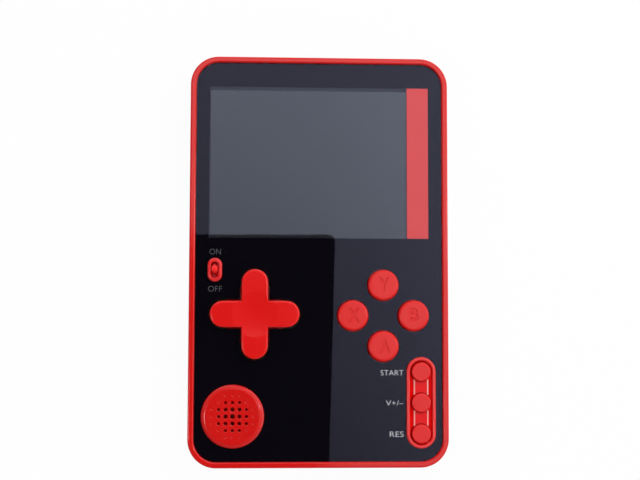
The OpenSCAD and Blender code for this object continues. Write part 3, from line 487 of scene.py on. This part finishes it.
# Pieces inside the case and the metal parts
innerSet = {
    "steel": {
        "first": (0.55, 0.55, 0.56), "second": (0.66, 0.66, 0.68),
        "rough": 0.28, "metal": 1.0, "size": 0.0008,
        "on": ("case_screws", "board_screws", "socket_shell", "speaker_basket", "switch_body", "pad_pivot"),
    },
    "magnetPlate": {
        "first": (0.32, 0.33, 0.34), "second": (0.42, 0.42, 0.44),
        "rough": 0.4, "metal": 1.0, "size": 0.001,
        "on": ("speaker_magnet",),
    },
    "framePlastic": {
        "first": (0.72, 0.72, 0.69), "second": (0.80, 0.80, 0.77),
        "rough": 0.5, "metal": 0.0, "size": 0.002,
        "on": ("lcd_frame",),
    },
    "amberFlex": {
        "first": (0.38, 0.16, 0.02), "second": (0.50, 0.23, 0.03),
        "rough": 0.4, "metal": 0.0, "size": 0.0006,
        "on": ("lcd_flex",),
    },
    "pouchFoil": {
        "first": (0.50, 0.51, 0.53), "second": (0.62, 0.63, 0.65),
        "rough": 0.35, "metal": 0.9, "size": 0.004,
        "on": ("battery",),
    },
    "blackFoam": {
        "first": (0.012, 0.012, 0.013), "second": (0.03, 0.03, 0.032),
        "rough": 0.9, "metal": 0.0, "size": 0.0004,
        "on": ("battery_foam", "speaker_gasket"),
    },
    "redLead": {
        "first": (0.50, 0.01, 0.01), "second": (0.58, 0.02, 0.02),
        "rough": 0.45, "metal": 0.0, "size": 0.001,
        "on": ("battery_leads",),
    },
    "blackLead": {
        "first": (0.010, 0.010, 0.011), "second": (0.02, 0.02, 0.021),
        "rough": 0.45, "metal": 0.0, "size": 0.001,
        "on": ("speaker_leads",),
    },
    "boardMask": {
        "first": (0.008, 0.09, 0.030), "second": (0.012, 0.14, 0.045),
        "rough": 0.35, "metal": 0.0, "size": 0.0012,
        "on": ("main_board",),
    },
    "chipResin": {
        "first": (0.012, 0.012, 0.014), "second": (0.022, 0.022, 0.024),
        "rough": 0.6, "metal": 0.0, "size": 0.0003,
        "on": ("main_chip", "memory_chip"),
    },
    "smallParts": {
        "first": (0.30, 0.22, 0.12), "second": (0.42, 0.33, 0.20),
        "rough": 0.5, "metal": 0.0, "size": 0.0008,
        "on": ("board_parts",),
    },
    # painted red glow: the cone's red stands in for red light from the shell falling into the grille holes
    "conePaper": {
        "first": (0.84, 0.055, 0.050), "second": (0.92, 0.075, 0.070),
        "rough": 0.8, "metal": 0.0, "size": 0.0004,
        "on": ("speaker_cone",),
    },
    "greySilicone": {
        "first": (0.20, 0.21, 0.23), "second": (0.26, 0.27, 0.29),
        "rough": 0.65, "metal": 0.0, "size": 0.0007,
        "on": ("pad_membrane", "face_membrane", "menu_membrane"),
    },
    "darkInsulator": {
        "first": (0.014, 0.014, 0.015), "second": (0.026, 0.026, 0.028),
        "rough": 0.5, "metal": 0.0, "size": 0.0005,
        "on": ("socket_tongue", "switch_lever"),
    },
}
speckSet = {"cloud": 4, "span": 0.12, "depth": 0.02}  # cloud and depth are shares of the grain's size


def speckled(name, setting):
    material, recipe = startFinish(name)
    cloud = recipe.noise(setting["size"] * speckSet["cloud"], detail=4)
    fine = recipe.noise(setting["size"])
    recipe.surface(recipe.add("ShaderNodeBsdfPrincipled", None, {
        "Base Color": recipe.blend(cloud, setting["first"], setting["second"]),
        "Roughness": recipe.swing(setting["rough"], speckSet["span"], fine),
        "Metallic": setting["metal"],
        "Normal": recipe.bump(fine, setting["size"] * speckSet["depth"]),
    }))
    return material


for name, setting in innerSet.items():
    material = speckled(name, setting)
    for member in setting["on"]:
        coat(member, material)
print("inner pieces coated")


# Silicone membranes: sheets with a dome under each key, and strips under the pad; lengths in millimetres
membraneSet = {
    "sheetTop": 4.9, "base": 2.3, "shoulder": (1.72, 0.83), "edge": (1.66, 0.94), "cap": 1.55, "steps": 32,
    "weld": 0.0001, "crease": math.radians(40), "keep": 0.15,
    "keys": {"face_membrane": ("button_y", "button_b", "button_a", "button_x"),
             "menu_membrane": ("start_button", "volume_button", "reset_button")},
    "pad": {"top": 5.04, "strip": 3.3, "gap": 0.03},
}


def layRubber(name, build, node):
    # a finished mesh becomes a piece of the node's own silicone, fixed to the case
    mesh = bpy.data.meshes.new(name)
    build.to_mesh(mesh)
    build.free()
    if "custom_normal" in mesh.attributes:
        mesh.attributes.remove(mesh.attributes["custom_normal"])
    mesh.set_sharp_from_angle(angle=membraneSet["crease"])
    mesh.materials.clear()
    mesh.materials.append(nodes[node].material_slots[0].material)
    piece = bpy.data.objects.new(name, mesh)
    scene.collection.objects.link(piece)
    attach(piece, "case")
    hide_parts(node)
    return piece


def cutSheet(node, top, cuts=()):
    # the node's own outline, no higher than top and trimmed by planes
    build = bmesh.new()
    build.from_mesh(nodes[node].data)
    bmesh.ops.remove_doubles(build, verts=build.verts, dist=membraneSet["weld"] * mm)
    for point, way in cuts:
        parts = build.verts[:] + build.edges[:] + build.faces[:]
        bmesh.ops.bisect_plane(build, geom=parts, plane_co=point, plane_no=way, clear_outer=True)
        bmesh.ops.holes_fill(build, edges=[edge for edge in build.edges if edge.is_boundary])
    for v in build.verts:
        v.co.z = min(v.co.z, top * mm)
    return build


def makeDome(key, node):
    base = membraneSet["sheetTop"] * mm
    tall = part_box(node)[1].z - base
    middle = topMiddle(key)
    # radius, and share of the dome's height
    profile = (
        (membraneSet["base"], 0),
        membraneSet["shoulder"],
        membraneSet["edge"],
        (membraneSet["cap"], 1),
    )
    steps = membraneSet["steps"]
    turns = [math.tau * k / steps for k in range(steps)]
    build = bmesh.new()
    rings = []
    for radius, share in profile:
        reach = radius * mm
        ring = []
        for a in turns:
            spot = (middle.x + reach * math.cos(a), middle.y + reach * math.sin(a), base + share * tall)
            ring.append(build.verts.new(spot))
        rings.append(ring)
    for low, high in zip(rings, rings[1:]):
        for k in range(steps):
            build.faces.new((low[k - 1], low[k], high[k], high[k - 1]))
    build.faces.new(rings[0][::-1])
    build.faces.new(rings[-1])
    dome = layRubber(key + "_dome", build, node)
    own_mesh(dome)


def makePadStrip(name, cuts):
    build = cutSheet("pad_membrane", membraneSet["pad"]["top"], cuts)
    strip = layRubber(name, build, "pad_membrane")
    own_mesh(strip)


for node, keys in membraneSet["keys"].items():
    layRubber(node + "_sheet", cutSheet(node, membraneSet["sheetTop"]), node)
    for key in keys:
        makeDome(key, node)
padMiddle = topMiddle("direction_pad")
half = membraneSet["pad"]["strip"] * mm
outer = half + membraneSet["pad"]["gap"] * mm
acrossX, acrossY = Vector((1, 0, 0)), Vector((0, 1, 0))
lengthCuts = [(padMiddle + s * half * acrossX, s * acrossX) for s in (-1, 1)]
sideCuts = [(padMiddle + s * half * acrossY, s * acrossY) for s in (-1, 1)]
makePadStrip("pad_membrane_length", lengthCuts)
for name, s in (("pad_membrane_left", -1), ("pad_membrane_right", 1)):
    innerCut = (padMiddle + s * outer * acrossX, -s * acrossX)
    makePadStrip(name, [innerCut, *sideCuts])
print("membranes laid")


# Printed labels on the film, seen through the panel: name, words, place, cap height, width, ink
labelSet = {
    "level": 7.786 * mm,
    "thick": 0.006 * mm,
    "thin": -0.025 * mm,
    "rows": (
        ("labelOn", "ON", (-25.6, 2.0), 1.5, 2.75, "greyInk"),
        ("labelOff", "OFF", (-25.6, -7.15), 1.5, 3.4, "greyInk"),
        ("labelStart", "START", (18.05, -27.7), 1.4, 5.63, "paleInk"),
        ("labelVolume", "V+/\u2013", (18.7, -35.1), 1.4, 4.3, "paleInk"),
        ("labelReset", "RES", (19.15, -42.7), 1.4, 3.4, "paleInk"),
    ),
}
inkSet = {
    "greyInk": {"ink": (0.080, 0.080, 0.088), "thin": (0.096, 0.096, 0.104), "rough": 0.5},
    "paleInk": {"ink": (0.57, 0.59, 0.63), "thin": (0.63, 0.65, 0.69), "rough": 0.5},
}
inks = {name: printedInk(name, setting) for name, setting in inkSet.items()}


def makeLabel(name, words, spot, capHeight, width, ink):
    label = wordCurve(name, words, capHeight * mm, labelSet["thick"], labelSet["thin"])
    label.data.materials.append(inks[ink])
    label.location = (spot[0] * mm, spot[1] * mm, labelSet["level"])
    bpy.context.view_layer.update()
    label.scale.x = width * mm / label.dimensions.x
    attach(label, "case")


for row in labelSet["rows"]:
    makeLabel(*row)
print("labels printed")


# Floor, lamps and the dark card that the panel mirrors
floorSet = {
    "half": 1.5,
    "level": -0.00005,
    "paper": (0.80, 0.80, 0.80),
    "showWhite": 0.96,
    "corners": ((-1, -1), (1, -1), (1, 1), (-1, 1)),
}
cardSet = {
    "level": 0.160, "glow": 0.02, "corner": 0.00298, "cornerAt": (0.01005, 0.01471),
    "arc": range(0, 100, 10),  # degrees
    "rest": ((-0.1000, 0.01706), (-0.1000, -0.1500), (0.00886, -0.1500), (0.01294, 0.01318)),
}


def flatMesh(name, points):
    mesh = bpy.data.meshes.new(name)
    mesh.from_pydata(points, [], [list(range(len(points)))])
    thing = bpy.data.objects.new(name, mesh)
    scene.collection.objects.link(thing)
    return thing


def makeFloor(setting):
    half, level = setting["half"], setting["level"]
    floor = flatMesh("floor", [(sx * half, sy * half, level) for sx, sy in setting["corners"]])
    material, recipe = startFinish("floorPaper")
    paper = recipe.add("ShaderNodeBsdfDiffuse", None, {"Color": (*setting["paper"], 1)})
    white = recipe.add("ShaderNodeEmission", None, {"Color": plainWhite, "Strength": 1.0})
    seen = recipe.rays("Is Camera Ray", "Is Glossy Ray", "Is Transmission Ray")
    shown = recipe.add("ShaderNodeMixShader", None, {0: seen * setting["showWhite"], 1: paper, 2: white})
    recipe.surface(shown)
    floor.data.materials.append(material)


def makeCard(setting):
    z, corner, at = setting["level"], setting["corner"], setting["cornerAt"]
    turns = [math.radians(degrees) for degrees in setting["arc"]]
    arc = [(at[0] + corner * math.cos(a), at[1] + corner * math.sin(a)) for a in turns]
    card = flatMesh("darkCard", [(x, y, z) for x, y in (*setting["rest"], *arc)])
    material, recipe = startFinish("darkCard")
    glow = recipe.add("ShaderNodeEmission", None, {"Color": plainWhite, "Strength": setting["glow"]})
    recipe.surface(glow)
    card.data.materials.append(material)
    card.visible_camera = False
    card.visible_diffuse = False
    card.visible_shadow = False


# What the matt side of a surface gathers, and what its gloss mirrors
worldSet = {
    "gather": {
        "near": 0.80, "zenith": 0.95, "mid": 0.80, "swing": 0.60, "high": (0.80, 0.93), "from": (-0.29, 0.36),
    },
    "mirror": {
        "level": 0.83, "rise": 2.1, "lean": 1.0, "sides": 14.5, "flat": 2.7, "mid": 0.20, "lift": 0.6,
        "edge": 0.72, "swing": 0.62, "wide": 3.0, "full": 0.115, "gone": 0.17, "low": (0.45, 0.15),
    },
    "bright": (0.75, 0.66),
}


def makeWorld(setting):
    world = bpy.data.worlds.new("studio")
    scene.world = world
    world.use_nodes = True
    world.cycles.sampling_method = "NONE"  # so that gloss and matt can see different light
    recipe = Recipe(world.node_tree)
    x, y, z = recipe.split(recipe.add("ShaderNodeTexCoord", out="Generated"))
    gather, mirror = setting["gather"], setting["mirror"]
    toward = setting["bright"][0] * x + setting["bright"][1] * y
    high = recipe.fade(z, *gather["high"])
    above = recipe.fade(y, *gather["from"], gather["near"], gather["zenith"])
    matt = high * above + (1 - high) * (gather["mid"] + gather["swing"] * toward)
    bowl = mirror["sides"] * x * x * (1 - mirror["flat"] * (y | 0.0))
    overhead = mirror["level"] + mirror["rise"] * y + mirror["lean"] * x + bowl
    low = recipe.fade(z, *mirror["low"])
    middle = mirror["mid"] + mirror["lift"] * (toward | 0.0)
    around = middle * (1 - low) + (mirror["edge"] + mirror["swing"] * toward) * low
    top = recipe.fade(mirror["wide"] * x * x + y * y, mirror["full"], mirror["gone"], 1, 0) * (z > 0)
    gloss = top * overhead + (1 - top) * around
    shiny = recipe.rays("Is Glossy Ray", "Is Transmission Ray")
    seen = recipe.rays("Is Camera Ray")
    glow = seen + (1 - seen) * (shiny * gloss + (1 - shiny) * matt)
    back = recipe.add("ShaderNodeBackground", None, {"Color": plainWhite, "Strength": glow})
    recipe.add("ShaderNodeOutputWorld", None, {"Surface": back})


# name, place, width, length, power, seen in gloss
lampSet = (
    ("keyLamp", (0.16, 0.17, 0.22), 0.14, 0.14, 0.22, False),
    ("rightLamp", (0.36, 0.06, 0.42), 0.05, 0.24, 0.20, True),
    ("leftLamp", (-0.27, -0.09, 0.44), 0.09, 0.09, 0.22, True),
)


def makeLamp(name, spot, width, length, power, mirrored):
    data = bpy.data.lights.new(name, "AREA")
    data.shape = "ELLIPSE"
    data.size = width
    data.size_y = length
    data.energy = power
    lamp = bpy.data.objects.new(name, data)
    scene.collection.objects.link(lamp)
    lamp.location = spot
    lamp.rotation_euler = (-Vector(spot)).to_track_quat("-Z", "Y").to_euler()
    lamp.visible_glossy = mirrored
    lamp.visible_transmission = False  # no stray glints in the panel's cut edges


makeFloor(floorSet)
makeCard(cardSet)
makeWorld(worldSet)
for row in lampSet:
    makeLamp(*row)
print("stage set")

bpy.context.view_layer.update()
